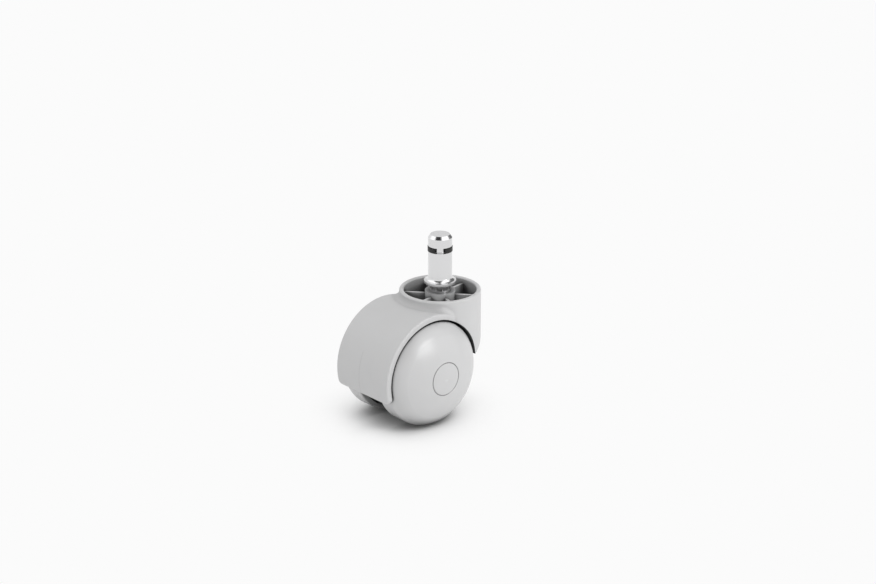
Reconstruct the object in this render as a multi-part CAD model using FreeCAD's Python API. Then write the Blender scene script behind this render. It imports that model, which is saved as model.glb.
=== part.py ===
import FreeCAD, Part
import math
import os

# Twin-wheel furniture castor with a hooded housing and a grip-ring stem.
# Lengths are in millimetres. Z points up along the stem, X points the way the
# castor travels, and the wheels trail towards -X on an axle along Y.
# The origin is on the stem's axis at the root of its parallel shank.

# Stem, turned from steel bar
shank_radius = 5.5
shank_length = 18.9
shank_chamfer_height = 1.4
shank_chamfer_width = 1.0
grip_groove_from_end = 4.0
grip_groove_height = 2.6
grip_groove_depth = 1.2
flare_height = 1.7
flange_radius = 7.4
flange_thickness = 1.2
pintle_radius = 4.84
pintle_tip_rise = 1.2
retaining_groove_above_tip = 5.0
retaining_groove_height = 1.5
retaining_groove_depth = 0.9

# Split rings
grip_ring_proud = 0.22
grip_ring_height = 2.2
grip_ring_opening = 4.7
grip_ring_opening_angle = -132.0
ring_radial_play = 0.08
ring_axial_play = 0.1
retaining_ring_bite = 0.3
retaining_ring_opening = 3.0

# Housing: cup and socket round the stem
cup_radius = 18.8
cup_wall = 2.1
cup_rim_drop = 5.9
cup_rim_rounding = 0.8
socket_radius = 7.0
socket_top_sink = 0.9
socket_floor_drop = 33.7
socket_floor_thickness = 2.4
socket_foot_rounding = 1.5
swivel_clearance = 0.06
tip_clearance = 0.1
rib_count = 6
rib_thickness = 1.3
rib_top_sink = 2.6
first_rib_angle = 10.0

# Housing: hood over the wheels
trail = 19.5
hood_top_sink = 3.7
hood_clearance = 0.4
hood_wall = 2.7
hood_side_step = 1.2
hood_edge_angle = 17.0
hood_corner_radius = 2.3
hood_rim_rounding = 0.8
hood_cup_fillet = 3.0
tail_floor_thickness = 2.0
tail_low = (24.9, 2.8)
tail_middle = (31.5, 7.1)
tail_high_rise = 14.0

# Housing: web and axle boss between the wheels
web_thickness = 4.0
web_overlap = 1.2
web_front = 7.0
web_tail_height = 4.0
web_foot_drop = 5.5
axle_boss_radius = 6.5
axle_boss_proud = 0.2

# Axle, steel pin
axle_radius = 4.0
axle_end_cover = 4.4
axle_chamfer = 0.6
axle_fit = 0.02
snap_groove_from_end = 4.6
snap_groove_length = 1.4
snap_groove_depth = 0.5

# Wheels, moulded. The shoulder's points give the inset from the tread's radius and
# the drop from the crown.
wheel_radius = 25.0
tread_chamfer = 0.4
tread_drop = 11.0
shoulder_turn = (0.25, 10.0)
shoulder_start = (1.0, 8.7)
shoulder_middle = (2.95, 6.2)
shoulder_end = (5.3, 4.5)
wheel_crown = 26.4
rim_wall = 2.3
face_wall = 2.4
hub_radius = 6.5
hub_clearance = 0.2
wheel_clearance = 0.06
axle_end_clearance = 0.3
snap_bead_play = 0.12
wheel_rib_count = 6
wheel_rib_thickness = 1.4
wheel_rib_recess = 2.5
ring_mark_radius = 7.7
ring_mark_width = 0.6
ring_mark_depth = 0.25

# Lengths worked out from the ones above
reach = 200.0
grip_groove_bottom = shank_length - grip_groove_from_end - grip_groove_height
hood_inner_radius = wheel_radius + hood_clearance
hood_outer_radius = hood_inner_radius + hood_wall
hood_half_width = cup_radius - hood_side_step
axle_drop = cup_rim_drop + hood_top_sink + hood_outer_radius
crease_radius = min(hood_cup_fillet, hood_top_sink - cup_rim_rounding - 0.1)
tail_high = (trail + cup_radius, tail_high_rise)
socket_top_drop = cup_rim_drop + socket_top_sink
rib_top_drop = cup_rim_drop + rib_top_sink
axle_boss_half_length = socket_radius + axle_boss_proud
axle_half_length = wheel_crown - axle_end_cover
snap_groove_start = axle_half_length - snap_groove_from_end
tread_end = wheel_crown - tread_drop
flange_bottom = -flare_height - flange_thickness
pintle_bottom = -socket_floor_drop + tip_clearance
socket_bore_radius = pintle_radius + swivel_clearance
retaining_groove_bottom = pintle_bottom + retaining_groove_above_tip
retaining_groove_top = retaining_groove_bottom + retaining_groove_height
axle_bore_radius = axle_radius + axle_fit
wheel_inner_face = axle_boss_half_length + hub_clearance
wheel_bore_radius = axle_radius + wheel_clearance

up = FreeCAD.Vector(0, 0, 1)
across = FreeCAD.Vector(0, 1, 0)
stem_foot = FreeCAD.Vector(0, 0, 0)
axle_centre = FreeCAD.Vector(-trail, 0, -axle_drop)


def turn(edges, centre, axis):
    """Turn an outline right round an axis, with its faces pointing outwards."""
    solid = Part.Face(Part.Wire(edges)).revolve(centre, axis, 360)
    if solid.Volume < 0:
        solid.reverse()
    return solid


def lathe(points):
    """Turn an outline of (radius, height) points about the Z axis."""
    corners = [FreeCAD.Vector(radius, 0, height) for radius, height in points]
    return turn(outline(corners), stem_foot, up)


def bar(radius, low, high):
    """A round bar on the stem's axis."""
    return Part.makeCylinder(radius, high - low, FreeCAD.Vector(0, 0, low), up)


def cross_bar(radius, half_length):
    """A round bar on the axle's axis."""
    start = axle_centre - across * half_length
    return Part.makeCylinder(radius, 2 * half_length, start, across)


def beside_axle(x, z):
    """A point of the middle plane, measured from the axle."""
    return axle_centre + FreeCAD.Vector(x, 0, z)


def slab(edges, half_width):
    """Extrude an outline in the middle plane to both sides."""
    face = Part.Face(Part.Wire(edges))
    face.translate(-across * half_width)
    return face.extrude(across * (2 * half_width))


def outline(points):
    """Straight edges round a list of points."""
    return Part.makePolygon(points + points[:1]).Edges


def edges_where(shape, test):
    return [edge for edge in shape.Edges if test(edge)]


def on_circle(edge, axis, radius):
    """True for a circular edge of this radius about an axis along a unit vector."""
    curve = edge.Curve
    if not isinstance(curve, Part.Circle):
        return False
    return abs(abs(curve.Axis.dot(axis)) - 1) < 1e-6 and abs(curve.Radius - radius) < 1e-4


def make_stem():
    flare_steps = 8
    points = [(0, shank_length + shank_chamfer_height)]
    points.append((shank_radius - shank_chamfer_width, shank_length + shank_chamfer_height))
    points.append((shank_radius, shank_length))
    groove_radius = shank_radius - grip_groove_depth
    groove_top = grip_groove_bottom + grip_groove_height
    points += [(shank_radius, groove_top), (groove_radius, groove_top)]
    points += [(groove_radius, grip_groove_bottom), (shank_radius, grip_groove_bottom)]
    points.append((shank_radius, 0))
    for step in range(1, flare_steps + 1):
        turn = math.radians(90 * step / flare_steps)
        out = (flange_radius - shank_radius) * (1 - math.cos(turn))
        points.append((shank_radius + out, -flare_height * math.sin(turn)))
    points += [(flange_radius, flange_bottom), (pintle_radius, flange_bottom)]
    inner = pintle_radius - retaining_groove_depth
    points += [(pintle_radius, retaining_groove_top), (inner, retaining_groove_top)]
    points += [(inner, retaining_groove_bottom), (pintle_radius, retaining_groove_bottom)]
    points.append((pintle_radius, pintle_bottom + pintle_tip_rise))
    points.append((pintle_radius - 2 * pintle_tip_rise, pintle_bottom))
    points.append((0, pintle_bottom))
    return lathe(points)


def split_ring(inner, outer, low, high, opening, angle):
    """A flat ring with one straight opening."""
    ring = bar(outer, low, high).cut(bar(inner, low, high))
    gap = Part.makeBox(2 * outer, opening, high - low, FreeCAD.Vector(0, -opening / 2, low))
    gap.rotate(stem_foot, up, angle)
    return ring.cut(gap)


def make_grip_ring():
    inner = shank_radius - grip_groove_depth + ring_radial_play
    low = grip_groove_bottom + ring_axial_play
    outer = shank_radius + grip_ring_proud
    ring = split_ring(inner, outer, low, low + grip_ring_height, grip_ring_opening,
                      grip_ring_opening_angle)
    return ring


def make_retaining_ring():
    inner = pintle_radius - retaining_groove_depth + ring_radial_play
    outer = socket_bore_radius + retaining_ring_bite
    low = retaining_groove_bottom + ring_axial_play
    high = retaining_groove_top - ring_axial_play
    return split_ring(inner, outer, low, high, retaining_ring_opening, 180)


def underside(tail_offset):
    """All that lies below the hood's edges and the tail, or above it by an offset."""
    lift = FreeCAD.Vector(-tail_offset, 0, tail_offset)
    low = beside_axle(*tail_low) + lift
    middle = beside_axle(*tail_middle) + lift
    high = beside_axle(*tail_high) + lift
    drop = math.radians(hood_edge_angle)
    front = beside_axle(-reach * math.cos(drop), -reach * math.sin(drop))
    corners = [high, FreeCAD.Vector(reach, 0, high.z), FreeCAD.Vector(reach, 0, -reach)]
    corners += [FreeCAD.Vector(-reach, 0, -reach), front, axle_centre, low]
    tail = Part.Arc(low, middle, high).toShape()
    return slab([tail] + Part.makePolygon(corners).Edges, reach)


def middle_of(edge):
    return edge.valueAt((edge.FirstParameter + edge.LastParameter) / 2)


def from_axle(point):
    return math.hypot(point.x + trail, point.z + axle_drop)


def is_hood_corner(edge):
    """The edge at each end of the hood's front edge, where it meets a side."""
    point = middle_of(edge)
    at_side = abs(abs(point.y) - hood_half_width) < 0.01
    slope = math.radians(hood_edge_angle)
    back, up = point.x + trail, point.z + axle_drop
    on_front = abs(up * math.cos(slope) - back * math.sin(slope)) < 0.01
    return at_side and on_front and back < -1


def is_hood_rim(edge):
    """The outer edges of the arch, along its sides, corners and front."""
    point = middle_of(edge)
    on_back = abs(from_axle(point) - hood_outer_radius) < 0.01
    at_side = abs(point.y) > hood_half_width - hood_corner_radius
    at_front = point.x < -trail - 0.9 * hood_outer_radius
    return on_back and (at_side or at_front)


def is_crease(edge):
    """The line where the arch's sides and back meet the cup's wall."""
    point = middle_of(edge)
    on_wall = abs(math.hypot(point.x, point.y) - cup_radius) < 0.01
    return on_wall and point.x < 0 and from_axle(point) < hood_outer_radius + 0.01


def hood_and_cup():
    """The outer skin: the arch over the wheels and the cup's wall, still solid."""
    slope = math.tan(math.radians(hood_edge_angle))
    inside = hood_inner_radius / 2
    corners = [(-inside, -inside * slope), (-reach, -reach * slope)]
    corners += [(-reach, -reach), (-inside, -reach)]
    below = slab(outline([beside_axle(x, z) for x, z in corners]), reach)
    ahead = Part.makeBox(reach, 2 * reach, 2 * reach, FreeCAD.Vector(0, -reach, -reach))
    arch = cross_bar(hood_outer_radius, hood_half_width).cut(below)
    arch = arch.makeFillet(hood_corner_radius, edges_where(arch, is_hood_corner))
    arch = arch.makeFillet(hood_rim_rounding, edges_where(arch, is_hood_rim))
    cup = bar(cup_radius, -axle_drop - 2 * hood_outer_radius, -cup_rim_drop)
    skin = cup.fuse(arch.cut(ahead))
    return skin.makeFillet(crease_radius, edges_where(skin, is_crease))


def cup_ribs():
    """Radial plates from the socket to the cup's wall."""
    low = -socket_floor_drop - socket_floor_thickness
    ribs = []
    for number in range(rib_count):
        corner = FreeCAD.Vector(0, -rib_thickness / 2, low)
        rib = Part.makeBox(cup_radius, rib_thickness, -rib_top_drop - low, corner)
        rib.rotate(stem_foot, up, first_rib_angle + 360 / rib_count * number)
        ribs.append(rib)
    return ribs


def web():
    """The upright plate between the wheels, from the axle boss to the tail."""
    top = hood_inner_radius + web_overlap
    points = [(-web_front, 0), (-web_front, top), (top, top), (top, web_tail_height)]
    points.append((0, -web_foot_drop))
    plate = slab(outline([beside_axle(x, z) for x, z in points]), web_thickness / 2)
    return plate.common(cross_bar(top, web_thickness))


def socket():
    """The tall boss that holds the pintle, with a rounded foot between the wheels."""
    body = bar(socket_radius, -socket_floor_drop - socket_floor_thickness, -socket_top_drop)
    foot = edges_where(body, lambda edge: edge.CenterOfMass.z < -socket_floor_drop)
    foot = [edge for edge in foot if isinstance(edge.Curve, Part.Circle)]
    return body.makeFillet(socket_foot_rounding, foot)


def make_housing():
    post = socket()
    axle_boss = cross_bar(axle_boss_radius, axle_boss_half_length)
    kept = post.fuse([web(), axle_boss])
    room = cross_bar(hood_inner_radius, reach).fuse(underside(0))
    skin = hood_and_cup().cut(room.cut(kept))

    pockets = bar(cup_radius - cup_wall, beside_axle(*tail_low).z, -cup_rim_drop)
    pockets = pockets.cut([cross_bar(hood_outer_radius, reach), underside(tail_floor_thickness)])
    pockets = pockets.cut([post] + cup_ribs())
    opening = bar(cup_radius - cup_wall, -socket_top_drop, -cup_rim_drop)
    skin = skin.cut([pockets, opening])

    rims = edges_where(skin, is_cup_rim)
    skin = skin.makeFillet(cup_rim_rounding, rims)

    groove_radius = socket_bore_radius + retaining_ring_bite + ring_radial_play
    bores = [bar(socket_bore_radius, -socket_floor_drop, 0)]
    bores.append(bar(groove_radius, retaining_groove_bottom, retaining_groove_top))
    bores.append(cross_bar(axle_bore_radius, reach))
    return skin.cut(bores)


def is_cup_rim(edge):
    on_rim = on_circle(edge, up, cup_radius) or on_circle(edge, up, cup_radius - cup_wall)
    return on_rim and abs(edge.CenterOfMass.z + cup_rim_drop) < 0.01


def make_axle():
    """A pin with chamfered ends and a groove near each end for the wheel's bead."""
    pin = cross_bar(axle_radius, axle_half_length)
    ends = edges_where(pin, lambda edge: isinstance(edge.Curve, Part.Circle))
    pin = pin.makeChamfer(axle_chamfer, ends)
    for side in (-1, 1):
        start = axle_centre + across * (side * snap_groove_start)
        ring = Part.makeCylinder(axle_radius + 1, snap_groove_length, start, across * side)
        core = axle_radius - snap_groove_depth
        ring = ring.cut(Part.makeCylinder(core, snap_groove_length, start, across * side))
        pin = pin.cut(ring)
    return pin


def make_wheel(side):
    """A domed wheel, open towards the other one, turned about the axle."""
    def at(radius, width):
        return beside_axle(radius, 0) + across * (side * width)

    def turned(edges):
        return turn(edges, axle_centre, across)

    def line(first, last):
        return Part.makeLine(at(*first), at(*last))

    def arc(first, middle, last):
        return Part.Arc(at(*first), at(*middle), at(*last)).toShape()

    def shoulder(inset, drop):
        return (wheel_radius - inset, wheel_crown - drop)

    edge_radius, edge_width = shoulder(*shoulder_end)
    rise = wheel_crown - edge_width
    face_radius = (edge_radius ** 2 + rise ** 2) / (2 * rise)
    face_centre = wheel_crown - face_radius

    def face_width(radius, depth):
        return face_centre + math.sqrt((face_radius - depth) ** 2 - radius ** 2)

    tread_start = (wheel_radius, wheel_inner_face + tread_chamfer)
    tread_stop = (wheel_radius, tread_end)
    mark_outside = ring_mark_radius + ring_mark_width / 2
    mark_inside = ring_mark_radius - ring_mark_width / 2
    mark_outer = (mark_outside, face_width(mark_outside, 0))
    mark_inner = (mark_inside, face_width(mark_inside, 0))
    mark_bottom = (ring_mark_radius, face_width(ring_mark_radius, 0) - ring_mark_depth)
    outer_middle = (edge_radius + mark_outside) / 2
    inner_middle = mark_inside / 2
    skin = [line((0, wheel_inner_face), (wheel_radius - tread_chamfer, wheel_inner_face))]
    skin.append(line((wheel_radius - tread_chamfer, wheel_inner_face), tread_start))
    skin.append(line(tread_start, tread_stop))
    turn_end = shoulder(*shoulder_start)
    edge = (edge_radius, edge_width)
    skin.append(arc(tread_stop, shoulder(*shoulder_turn), turn_end))
    skin.append(arc(turn_end, shoulder(*shoulder_middle), edge))
    skin.append(arc(edge, (outer_middle, face_width(outer_middle, 0)), mark_outer))
    skin.append(line(mark_outer, mark_bottom))
    skin.append(line(mark_bottom, mark_inner))
    skin.append(arc(mark_inner, (inner_middle, face_width(inner_middle, 0)), (0, wheel_crown)))
    skin.append(line((0, wheel_crown), (0, wheel_inner_face)))
    wheel = turned(skin)

    inner_radius = wheel_radius - rim_wall
    knee_radius = edge_radius - face_wall / 2
    knee = (knee_radius, face_width(knee_radius, face_wall))
    hub_end = (hub_radius, face_width(hub_radius, face_wall))
    between = (knee_radius + hub_radius) / 2
    hollow = [line((hub_radius, 0), (inner_radius, 0))]
    hollow.append(line((inner_radius, 0), (inner_radius, tread_end)))
    hollow.append(line((inner_radius, tread_end), knee))
    hollow.append(arc(knee, (between, face_width(between, face_wall)), hub_end))
    hollow.append(line(hub_end, (hub_radius, 0)))
    ribs = []
    rib_start = at(0, wheel_inner_face + wheel_rib_recess)
    for number in range(wheel_rib_count):
        rib = Part.makeBox(wheel_radius, wheel_crown, wheel_rib_thickness,
                           FreeCAD.Vector(0, 0, -wheel_rib_thickness / 2))
        if side < 0:
            rib = rib.mirror(stem_foot, across)
        rib.translate(rib_start)
        rib.rotate(axle_centre, across, 360 / wheel_rib_count * (number + 0.5))
        ribs.append(rib)
    wheel = wheel.cut(turned(hollow).cut(ribs))

    bore_end = axle_half_length + axle_end_clearance
    bead_radius = axle_radius - snap_groove_depth + snap_bead_play
    bead_start = snap_groove_start + snap_bead_play
    bead_end = snap_groove_start + snap_groove_length - snap_bead_play
    bead_slope = wheel_bore_radius - bead_radius
    points = [(0, 0), (wheel_bore_radius, 0), (wheel_bore_radius, bead_start)]
    points += [(bead_radius, bead_start + bead_slope), (bead_radius, bead_end)]
    points += [(wheel_bore_radius, bead_end), (wheel_bore_radius, bore_end), (0, bore_end)]
    bore = turned(outline([at(*point) for point in points]))
    return wheel.cut(bore)


def write(name, shape):
    shape.exportStep(os.path.join("parts", name + ".step"))
    facets = len(shape.tessellate(0.1)[1])
    print(name, shape.isValid(), len(shape.Solids), round(shape.Volume, 1), facets)


os.makedirs("parts", exist_ok=True)
write("stem", make_stem())
write("grip_ring", make_grip_ring())
write("retaining_ring", make_retaining_ring())
write("housing", make_housing())
write("axle", make_axle())
write("wheel_left", make_wheel(1))
write("wheel_right", make_wheel(-1))
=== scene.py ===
import math
import bpy
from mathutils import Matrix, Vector


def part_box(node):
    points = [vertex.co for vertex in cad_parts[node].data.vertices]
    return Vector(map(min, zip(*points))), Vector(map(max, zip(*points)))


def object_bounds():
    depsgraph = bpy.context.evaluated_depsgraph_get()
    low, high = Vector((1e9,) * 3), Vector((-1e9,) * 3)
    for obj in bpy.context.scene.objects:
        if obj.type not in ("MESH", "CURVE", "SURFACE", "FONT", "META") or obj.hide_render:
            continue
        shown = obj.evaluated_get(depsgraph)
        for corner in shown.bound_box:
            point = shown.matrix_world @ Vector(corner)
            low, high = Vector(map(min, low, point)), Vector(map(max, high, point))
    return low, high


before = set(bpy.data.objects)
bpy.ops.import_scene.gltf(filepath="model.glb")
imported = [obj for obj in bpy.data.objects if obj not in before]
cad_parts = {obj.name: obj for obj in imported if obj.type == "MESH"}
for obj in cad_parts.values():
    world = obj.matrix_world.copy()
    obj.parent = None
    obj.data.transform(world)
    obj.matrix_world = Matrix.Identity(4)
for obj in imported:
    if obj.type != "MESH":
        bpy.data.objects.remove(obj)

cad_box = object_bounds()


# Moulded skin
# Every plastic part of the castor comes out of a steel tool whose walls were spark
# eroded, which leaves a fine even grain. Edges are a little soft. The seams, the creases
# and the depth of the pockets get painted shade: their colour is darkened where little
# of the surroundings is open to them.
def moulded_skin_group():
    group = bpy.data.node_groups.new("moulded_skin", "ShaderNodeTree")
    for name, kind, value in (("Colour", "NodeSocketColor", (0.5, 0.5, 0.5, 1)),
                              ("Roughness", "NodeSocketFloat", 0.4),
                              ("Grain size", "NodeSocketFloat", 0.0002),
                              ("Grain depth", "NodeSocketFloat", 0.1),
                              ("Shading", "NodeSocketFloat", 0.06),
                              ("Seam reach", "NodeSocketFloat", 0.002),
                              ("Seam shut", "NodeSocketFloat", 0.3),
                              ("Seam shade", "NodeSocketFloat", 0.3),
                              ("Pocket reach", "NodeSocketFloat", 0.04),
                              ("Pocket shut", "NodeSocketFloat", 0),
                              ("Pocket shade", "NodeSocketFloat", 0.15),
                              ("Edge softness", "NodeSocketFloat", 0.0002)):
        socket = group.interface.new_socket(name, in_out="INPUT", socket_type=kind)
        socket.default_value = value
    group.interface.new_socket("Colour", in_out="OUTPUT", socket_type="NodeSocketColor")
    group.interface.new_socket("Roughness", in_out="OUTPUT", socket_type="NodeSocketFloat")
    group.interface.new_socket("Normal", in_out="OUTPUT", socket_type="NodeSocketVector")
    nodes, links = group.nodes, group.links
    given = nodes.new("NodeGroupInput")
    made = nodes.new("NodeGroupOutput")
    place = nodes.new("ShaderNodeTexCoord")

    scale = nodes.new("ShaderNodeMath")
    scale.operation = "DIVIDE"
    scale.inputs[0].default_value = 1
    links.new(given.outputs["Grain size"], scale.inputs[1])
    grain = nodes.new("ShaderNodeTexNoise")
    grain.inputs["Detail"].default_value = 3
    grain.inputs["Roughness"].default_value = 0.6
    links.new(place.outputs["Object"], grain.inputs["Vector"])
    links.new(scale.outputs[0], grain.inputs["Scale"])
    soft_edge = nodes.new("ShaderNodeBevel")
    soft_edge.samples = 6
    links.new(given.outputs["Edge softness"], soft_edge.inputs["Radius"])
    bump = nodes.new("ShaderNodeBump")
    bump.inputs["Distance"].default_value = 0.00004
    links.new(given.outputs["Grain depth"], bump.inputs["Strength"])
    links.new(grain.outputs["Fac"], bump.inputs["Height"])
    links.new(soft_edge.outputs["Normal"], bump.inputs["Normal"])
    links.new(bump.outputs["Normal"], made.inputs["Normal"])

    flow = nodes.new("ShaderNodeTexNoise")
    flow.inputs["Scale"].default_value = 60
    flow.inputs["Detail"].default_value = 2
    flow.inputs["Distortion"].default_value = 0.8
    links.new(place.outputs["Object"], flow.inputs["Vector"])
    centred = nodes.new("ShaderNodeMath")
    centred.operation = "SUBTRACT"
    centred.inputs[1].default_value = 0.5
    links.new(flow.outputs["Fac"], centred.inputs[0])
    amount = nodes.new("ShaderNodeMath")
    amount.operation = "MULTIPLY"
    links.new(centred.outputs[0], amount.inputs[0])
    links.new(given.outputs["Shading"], amount.inputs[1])
    lift = nodes.new("ShaderNodeMath")
    lift.operation = "ADD"
    lift.inputs[1].default_value = 1
    links.new(amount.outputs[0], lift.inputs[0])

    level = lift
    # Painted shade: the colour is darkened where ambient occlusion finds seams and pockets
    # closed in.
    for hollow, wide_open in (("Seam", 1), ("Pocket", 0.46)):
        openness = nodes.new("ShaderNodeAmbientOcclusion")
        openness.samples = 12
        links.new(given.outputs[hollow + " reach"], openness.inputs["Distance"])
        depth = nodes.new("ShaderNodeMapRange")
        depth.interpolation_type = "SMOOTHSTEP"
        depth.inputs["From Max"].default_value = wide_open
        depth.inputs["To Max"].default_value = 1
        links.new(openness.outputs["AO"], depth.inputs["Value"])
        links.new(given.outputs[hollow + " shut"], depth.inputs["From Min"])
        links.new(given.outputs[hollow + " shade"], depth.inputs["To Min"])
        painted_shade_level = nodes.new("ShaderNodeMath")
        painted_shade_level.operation = "MULTIPLY"
        links.new(level.outputs[0], painted_shade_level.inputs[0])
        links.new(depth.outputs["Result"], painted_shade_level.inputs[1])
        level = painted_shade_level
    tint = nodes.new("ShaderNodeVectorMath")
    tint.operation = "SCALE"
    links.new(given.outputs["Colour"], tint.inputs[0])
    links.new(level.outputs[0], tint.inputs["Scale"])
    links.new(tint.outputs[0], made.inputs["Colour"])
    rough = nodes.new("ShaderNodeMath")
    rough.operation = "MULTIPLY"
    links.new(given.outputs["Roughness"], rough.inputs[0])
    links.new(lift.outputs[0], rough.inputs[1])
    links.new(rough.outputs[0], made.inputs["Roughness"])
    return group


moulded_skin = moulded_skin_group()


def moulded_plastic(name, grey, roughness, grain_size, grain_depth,
                    seam_painted_shade_reach, seam_painted_shade_shut, seam_painted_shade):
    """Mix a nylon of one grey, with its own grain and painted shade in its seams."""
    material = bpy.data.materials.new(name)
    material.use_nodes = True
    nodes, links = material.node_tree.nodes, material.node_tree.links
    shader = nodes["Principled BSDF"]
    shader.inputs["Metallic"].default_value = 0
    shader.inputs["IOR"].default_value = 1.5
    skin = nodes.new("ShaderNodeGroup")
    skin.node_tree = moulded_skin
    skin.inputs["Colour"].default_value = (grey, grey, grey * 1.005, 1)
    skin.inputs["Roughness"].default_value = roughness
    skin.inputs["Grain size"].default_value = grain_size
    skin.inputs["Grain depth"].default_value = grain_depth
    skin.inputs["Seam reach"].default_value = seam_painted_shade_reach
    skin.inputs["Seam shut"].default_value = seam_painted_shade_shut
    skin.inputs["Seam shade"].default_value = seam_painted_shade
    links.new(skin.outputs["Colour"], shader.inputs["Base Color"])
    links.new(skin.outputs["Roughness"], shader.inputs["Roughness"])
    links.new(skin.outputs["Normal"], shader.inputs["Normal"])
    return material


def dress(node, material, smooth_angle=30):
    """Give a CAD node its finish and smooth its round faces."""
    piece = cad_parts[node]
    piece.data.materials.clear()
    piece.data.materials.append(material)
    bpy.ops.object.select_all(action="DESELECT")
    piece.select_set(True)
    bpy.context.view_layer.objects.active = piece
    bpy.ops.object.shade_smooth_by_angle(angle=math.radians(smooth_angle))
    piece.select_set(False)
    return piece


# Housing
# One moulding in light grey nylon: the hood over the wheels, the open ribbed cup
# and the socket for the stem. Its outside has a fine satin grain.
nylon_grey = 0.56
# The housing's colour carries painted shade in its creases, its seams and deep in its cup.
housing_plastic = moulded_plastic("housing_plastic", nylon_grey, roughness=0.48,
                                  grain_size=0.00025, grain_depth=0.25,
                                  seam_painted_shade_reach=0.004, seam_painted_shade_shut=0.65, seam_painted_shade=0.35)


def parting_line(material, line_y, half_width, shade, top, fade):
    """Darken a hair line down the back of the hood, where the two mould halves met."""
    nodes, links = material.node_tree.nodes, material.node_tree.links
    place = nodes.new("ShaderNodeTexCoord")
    at = nodes.new("ShaderNodeSeparateXYZ")
    links.new(place.outputs["Object"], at.inputs[0])
    beside = nodes.new("ShaderNodeMath")
    beside.operation = "SUBTRACT"
    beside.inputs[1].default_value = line_y
    links.new(at.outputs["Y"], beside.inputs[0])
    off = nodes.new("ShaderNodeMath")
    off.operation = "ABSOLUTE"
    links.new(beside.outputs[0], off.inputs[0])
    line = nodes.new("ShaderNodeMapRange")
    line.interpolation_type = "SMOOTHSTEP"
    line.inputs["From Max"].default_value = half_width
    line.inputs["To Min"].default_value = 1 - shade
    line.inputs["To Max"].default_value = 1
    links.new(off.outputs[0], line.inputs["Value"])
    over_line = nodes.new("ShaderNodeMapRange")
    over_line.interpolation_type = "SMOOTHSTEP"
    over_line.inputs["From Min"].default_value = top - fade
    over_line.inputs["From Max"].default_value = top + fade
    over_line.inputs["To Max"].default_value = 1
    links.new(at.outputs["Z"], over_line.inputs["Value"])
    fading = nodes.new("ShaderNodeMath")
    fading.operation = "MAXIMUM"
    links.new(line.outputs["Result"], fading.inputs[0])
    links.new(over_line.outputs["Result"], fading.inputs[1])
    shader = nodes["Principled BSDF"]
    plain = shader.inputs["Base Color"].links[0].from_socket
    lined = nodes.new("ShaderNodeVectorMath")
    lined.operation = "SCALE"
    links.new(plain, lined.inputs[0])
    links.new(fading.outputs[0], lined.inputs["Scale"])
    links.new(lined.outputs[0], shader.inputs["Base Color"])


axle_low, axle_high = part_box("axle")
axle_height = (axle_low.z + axle_high.z) / 2
parting_line(housing_plastic, line_y=0.0016, half_width=0.0004, shade=0.1,
             top=axle_height + 0.009, fade=0.004)
dress("housing", housing_plastic)


# Wheels
# Two moulded nylon wheels with smooth domed faces, in the housing's grey. They snap
# on the axle and are open and ribbed on their inner sides.
# The wheels' colour carries painted shade in narrow gaps and grooves, such as under the
# hood's lip.
wheel_plastic = moulded_plastic("wheel_plastic", nylon_grey, roughness=0.27,
                                grain_size=0.0004, grain_depth=0.1,
                                seam_painted_shade_reach=0.0016, seam_painted_shade_shut=0.5, seam_painted_shade=0.05)
for side in ("left", "right"):
    dress("wheel_" + side, wheel_plastic)


# Stem
# Turned from steel bar and bright plated, with fine turning lines round its shank.
# Its pintle stands in the housing's socket, and the housing swivels round it.
def turned_steel():
    material = bpy.data.materials.new("plated_steel")
    material.use_nodes = True
    nodes, links = material.node_tree.nodes, material.node_tree.links
    shader = nodes["Principled BSDF"]
    shader.inputs["Metallic"].default_value = 1
    shader.inputs["Base Color"].default_value = (0.72, 0.72, 0.725, 1)
    place = nodes.new("ShaderNodeTexCoord")
    stretch = nodes.new("ShaderNodeMapping")
    lines_across, lines_along = 60, 9000
    stretch.inputs["Scale"].default_value = (lines_across, lines_across, lines_along)
    lines = nodes.new("ShaderNodeTexNoise")
    lines.inputs["Scale"].default_value = 1
    lines.inputs["Detail"].default_value = 2
    links.new(place.outputs["Object"], stretch.inputs["Vector"])
    links.new(stretch.outputs["Vector"], lines.inputs["Vector"])
    bump = nodes.new("ShaderNodeBump")
    bump.inputs["Strength"].default_value = 0.2
    bump.inputs["Distance"].default_value = 0.00002
    links.new(lines.outputs["Fac"], bump.inputs["Height"])
    links.new(bump.outputs["Normal"], shader.inputs["Normal"])
    rough = nodes.new("ShaderNodeMapRange")
    rough.inputs["To Min"].default_value = 0.12
    rough.inputs["To Max"].default_value = 0.26
    links.new(lines.outputs["Fac"], rough.inputs["Value"])
    links.new(rough.outputs["Result"], shader.inputs["Roughness"])
    return material


plated_steel = turned_steel()
dress("stem", plated_steel)


# Axle
# A steel pin with the same bright plating, pressed through the housing's boss. A
# wheel turns on each of its ends.
dress("axle", plated_steel)


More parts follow.
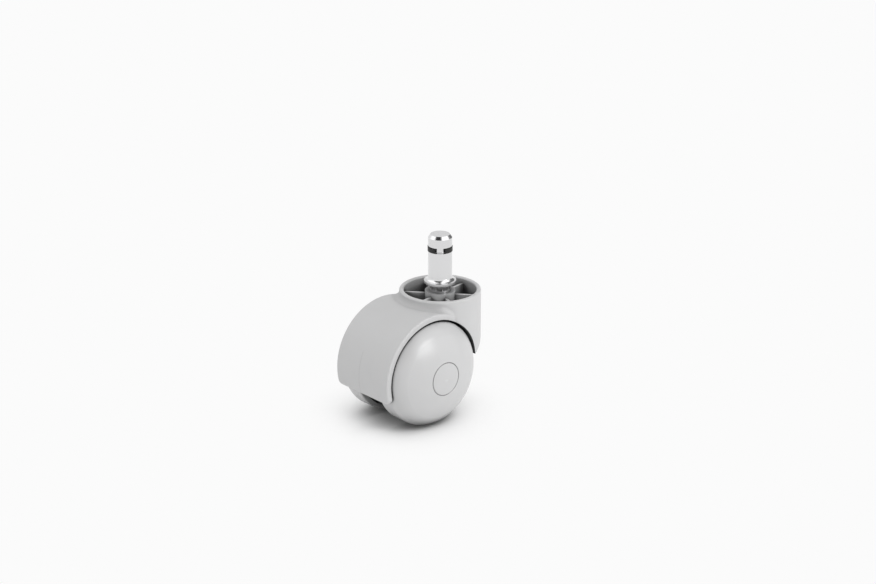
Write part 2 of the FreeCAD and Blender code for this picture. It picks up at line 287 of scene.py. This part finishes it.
# Split rings
# Black oxidised spring steel: the grip ring near the stem's top, and the snap ring
# that holds the pintle in the socket.
def black_oxide():
    material = bpy.data.materials.new("black_spring_steel")
    material.use_nodes = True
    nodes, links = material.node_tree.nodes, material.node_tree.links
    shader = nodes["Principled BSDF"]
    shader.inputs["Metallic"].default_value = 0
    shader.inputs["Specular IOR Level"].default_value = 0.25
    place = nodes.new("ShaderNodeTexCoord")
    mottle = nodes.new("ShaderNodeTexNoise")
    mottle.inputs["Scale"].default_value = 900
    mottle.inputs["Detail"].default_value = 3
    links.new(place.outputs["Object"], mottle.inputs["Vector"])
    shade = nodes.new("ShaderNodeMapRange")
    shade.inputs["To Min"].default_value = 0.012
    shade.inputs["To Max"].default_value = 0.03
    links.new(mottle.outputs["Fac"], shade.inputs["Value"])
    links.new(shade.outputs["Result"], shader.inputs["Base Color"])
    rough = nodes.new("ShaderNodeMapRange")
    rough.inputs["To Min"].default_value = 0.35
    rough.inputs["To Max"].default_value = 0.5
    links.new(mottle.outputs["Fac"], rough.inputs["Value"])
    links.new(rough.outputs["Result"], shader.inputs["Roughness"])
    return material


black_spring_steel = black_oxide()
dress("grip_ring", black_spring_steel)
dress("retaining_ring", black_spring_steel)


# Floor
# The castor stands on a plain white sheet. Where the castor closes it in, darkest between
# the wheels, it shows the castor's shadow with more shadow painted into its colour, and in
# the open it is even white.
floor_level = cad_box[0].z
sheet_width = 3
paper_light = 0.965
bpy.ops.mesh.primitive_plane_add(size=sheet_width, location=(0, 0, floor_level))
floor = bpy.context.object
floor.name = "floor"
floor_paint = bpy.data.materials.new("floor_paint")
floor_paint.use_nodes = True
paint_nodes, paint_links = floor_paint.node_tree.nodes, floor_paint.node_tree.links
paint = paint_nodes["Principled BSDF"]
paint.inputs["Roughness"].default_value = 0.9
paint.inputs["Specular IOR Level"].default_value = 0.2
floor_openness = paint_nodes.new("ShaderNodeAmbientOcclusion")
floor_openness.samples = 16
floor_openness.inputs["Distance"].default_value = 0.04
# Painted shadow: the sheet's colour is darkened where the castor closes it in.
painted_contact_shadow = paint_nodes.new("ShaderNodeMapRange")
painted_contact_shadow.interpolation_type = "SMOOTHSTEP"
painted_contact_shadow.inputs["From Min"].default_value = 0.2
painted_contact_shadow.inputs["From Max"].default_value = 0.45
painted_contact_shadow.inputs["To Min"].default_value = 0.5
painted_contact_shadow.inputs["To Max"].default_value = 0.92
paint_links.new(floor_openness.outputs["AO"], painted_contact_shadow.inputs["Value"])
paint_links.new(painted_contact_shadow.outputs["Result"], paint.inputs["Base Color"])
paper_white = paint_nodes.new("ShaderNodeEmission")
paper_white.inputs["Color"].default_value = (1, 1, 1, 1)
paper_white.inputs["Strength"].default_value = paper_light
bleached = paint_nodes.new("ShaderNodeMapRange")
bleached.interpolation_type = "SMOOTHSTEP"
bleached.inputs["From Min"].default_value = 0.38
bleached.inputs["From Max"].default_value = 0.9
paint_links.new(floor_openness.outputs["AO"], bleached.inputs["Value"])
floor_ray = paint_nodes.new("ShaderNodeLightPath")
floor_shown = paint_nodes.new("ShaderNodeMath")
floor_shown.operation = "MAXIMUM"
paint_links.new(floor_ray.outputs["Is Camera Ray"], floor_shown.inputs[0])
paint_links.new(floor_ray.outputs["Is Glossy Ray"], floor_shown.inputs[1])
shown_bleached = paint_nodes.new("ShaderNodeMath")
shown_bleached.operation = "MULTIPLY"
paint_links.new(floor_shown.outputs[0], shown_bleached.inputs[0])
paint_links.new(bleached.outputs["Result"], shown_bleached.inputs[1])
floor_mix = paint_nodes.new("ShaderNodeMixShader")
paint_links.new(shown_bleached.outputs[0], floor_mix.inputs["Fac"])
paint_links.new(paint.outputs[0], floor_mix.inputs[1])
paint_links.new(paper_white.outputs[0], floor_mix.inputs[2])
paint_links.new(floor_mix.outputs[0], paint_nodes["Material Output"].inputs["Surface"])
floor.data.materials.append(floor_paint)


# Studio
# Even white light comes from all round, with a lamp at the right and one above. The
# plated stem reflects a white soft box on each side and dark cards over the camera and
# behind it, and the near wheel's highlight has a lamp of its own.
toward_camera = Vector((-0.667, -0.745, 0))
picture_right = Vector((0.745, -0.667, 0))
world = bpy.context.scene.world or bpy.data.worlds.new("studio")
bpy.context.scene.world = world
world.use_nodes = True
sky_nodes, sky_links = world.node_tree.nodes, world.node_tree.links
sky_place = sky_nodes.new("ShaderNodeTexCoord")
sky_height = sky_nodes.new("ShaderNodeSeparateXYZ")
sky_links.new(sky_place.outputs["Generated"], sky_height.inputs[0])
level_way = sky_nodes.new("ShaderNodeVectorMath")
level_way.operation = "MULTIPLY"
level_way.inputs[1].default_value = (1, 1, 0)
sky_links.new(sky_place.outputs["Generated"], level_way.inputs[0])
unit_way = sky_nodes.new("ShaderNodeVectorMath")
unit_way.operation = "NORMALIZE"
sky_links.new(level_way.outputs[0], unit_way.inputs[0])


def way_from_castor(turn):
    """A level direction, turned to the picture's right from the camera's."""
    turn = math.radians(turn)
    return toward_camera * math.cos(turn) + picture_right * math.sin(turn)


def card(turn, half_width, lowest, strength, below):
    """Hang a card in the sky from a height up, and add its strength to what is there."""
    side_blur, foot_blur = 4, 0.08
    across = sky_nodes.new("ShaderNodeVectorMath")
    across.operation = "DOT_PRODUCT"
    across.inputs[1].default_value = way_from_castor(turn)
    sky_links.new(unit_way.outputs[0], across.inputs[0])
    inside = sky_nodes.new("ShaderNodeMapRange")
    inside.interpolation_type = "SMOOTHSTEP"
    inside.inputs["From Min"].default_value = math.cos(math.radians(half_width + side_blur))
    inside.inputs["From Max"].default_value = math.cos(math.radians(half_width - side_blur))
    sky_links.new(across.outputs["Value"], inside.inputs["Value"])
    above = sky_nodes.new("ShaderNodeMapRange")
    above.interpolation_type = "SMOOTHSTEP"
    above.inputs["From Min"].default_value = lowest - foot_blur
    above.inputs["From Max"].default_value = lowest + foot_blur
    above.inputs["To Max"].default_value = strength
    sky_links.new(sky_height.outputs["Z"], above.inputs["Value"])
    added = sky_nodes.new("ShaderNodeMath")
    added.operation = "MULTIPLY_ADD"
    sky_links.new(inside.outputs["Result"], added.inputs[0])
    sky_links.new(above.outputs["Result"], added.inputs[1])
    if below is None:
        added.inputs[2].default_value = 1
    else:
        sky_links.new(below, added.inputs[2])
    return added.outputs[0]


right_box = card(67, half_width=43, lowest=0.45, strength=0.7, below=None)
left_box = card(-100, half_width=40, lowest=0.4, strength=0.5, below=right_box)
camera_flag = card(-20, half_width=37, lowest=0.42, strength=-0.97, below=left_box)
back_flag = card(131, half_width=29, lowest=-0.2, strength=-0.8, below=camera_flag)
back_sky = card(180, half_width=30, lowest=0.2, strength=-0.13, below=back_flag)
sky_ray = sky_nodes.new("ShaderNodeLightPath")
reflected = sky_nodes.new("ShaderNodeMapRange")
reflected.inputs["To Min"].default_value = 1
sky_links.new(sky_ray.outputs["Is Glossy Ray"], reflected.inputs["Value"])
sky_links.new(back_sky, reflected.inputs["To Max"])
backdrop = sky_nodes.new("ShaderNodeBackground")
backdrop.inputs["Strength"].default_value = paper_light
sky_links.new(reflected.outputs["Result"], backdrop.inputs["Color"])
soft_light = sky_nodes["Background"]
soft_light.inputs["Color"].default_value = (1, 1, 1, 1)
soft_light.inputs["Strength"].default_value = 0.84
sky_shown = sky_nodes.new("ShaderNodeMath")
sky_shown.operation = "MAXIMUM"
sky_links.new(sky_ray.outputs["Is Camera Ray"], sky_shown.inputs[0])
sky_links.new(sky_ray.outputs["Is Glossy Ray"], sky_shown.inputs[1])
sky_mix = sky_nodes.new("ShaderNodeMixShader")
sky_links.new(sky_shown.outputs[0], sky_mix.inputs["Fac"])
sky_links.new(soft_light.outputs[0], sky_mix.inputs[1])
sky_links.new(backdrop.outputs[0], sky_mix.inputs[2])
sky_links.new(sky_mix.outputs[0], sky_nodes["World Output"].inputs["Surface"])


lamp_distance = 0.95


def lamp(name, turn, height, size, power):
    """Place a square soft lamp at arm's length, aimed at the castor."""
    height = math.radians(height)
    way = way_from_castor(turn) * math.cos(height) + Vector((0, 0, math.sin(height)))
    place = way * lamp_distance
    light = bpy.data.lights.new(name, "AREA")
    light.size = size
    light.energy = power
    holder = bpy.data.objects.new(name, light)
    bpy.context.scene.collection.objects.link(holder)
    holder.location = place
    holder.rotation_mode = "QUATERNION"
    holder.rotation_quaternion = (-place).to_track_quat("-Z", "Y")
    return holder


side_lamp = lamp("side_lamp", turn=85, height=4, size=0.4, power=2.3)
side_lamp.visible_glossy = False
top_lamp = lamp("top_lamp", turn=42, height=48, size=0.3, power=1.4)
top_lamp.visible_glossy = False
gloss_lamp = lamp("gloss_lamp", turn=53, height=21, size=0.44, power=3.4)
gloss_lamp.visible_diffuse = False


# Camera
# It looks down on the castor's hood from the trailing side, as in the photograph.
camera_azimuth = math.radians(-41.8)
camera_height = math.radians(20.7)
camera_distance = 0.922
camera_aim = Vector((-0.00181, -0.00058, -0.00735))
camera_lens = bpy.data.cameras.new("camera")
camera_lens.lens = 82.68
camera_lens.sensor_width = 36
camera = bpy.data.objects.new("camera", camera_lens)
bpy.context.scene.collection.objects.link(camera)
camera_back = Vector((math.sin(camera_azimuth) * math.cos(camera_height),
                      -math.cos(camera_azimuth) * math.cos(camera_height),
                      math.sin(camera_height)))
camera.location = camera_aim + camera_back * camera_distance
camera.rotation_mode = "QUATERNION"
camera.rotation_quaternion = (-camera_back).to_track_quat("-Z", "Y")
bpy.context.scene.camera = camera
bpy.context.scene.view_settings.view_transform = "Standard"
